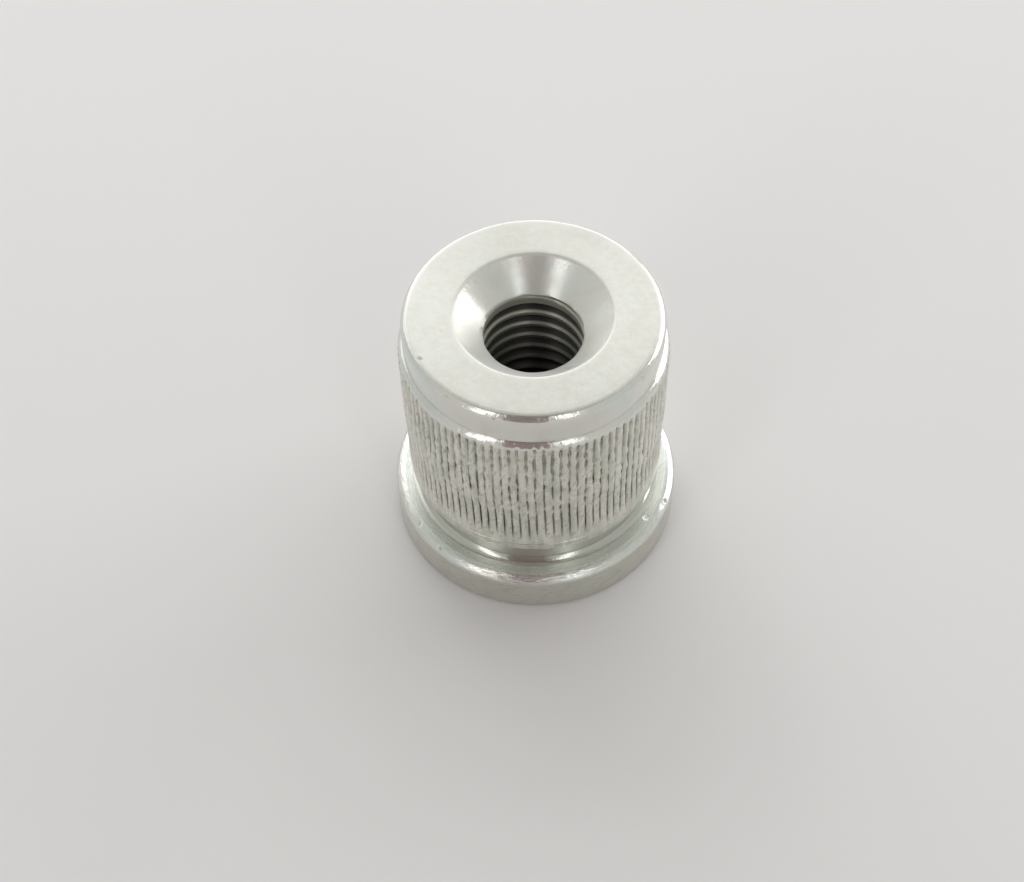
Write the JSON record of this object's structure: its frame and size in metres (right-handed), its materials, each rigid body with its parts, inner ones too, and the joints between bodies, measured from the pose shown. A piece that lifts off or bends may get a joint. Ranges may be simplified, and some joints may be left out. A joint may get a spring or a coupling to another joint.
{
  "type": "threaded plug",
  "caption": "Round press-in plug: wide flange, turned relief, straight-knurled barrel, plain pilot, and a countersunk tapped through bore.",
  "frame": {"origin": "centre of the flange's underside", "axes": "+Z along the bore axis, from the flange towards the countersunk mouth; X and Y are equivalent, and the first groove of the knurl is on +X"},
  "size_m": [0.0254, 0.0254, 0.0252],
  "materials": {
    "zinc_plated_steel": "bright zinc plating over turned and knurled steel"
  },
  "bodies": {
    "root": {"threaded_plug": "zinc_plated_steel"}
  },
  "joints": []
}
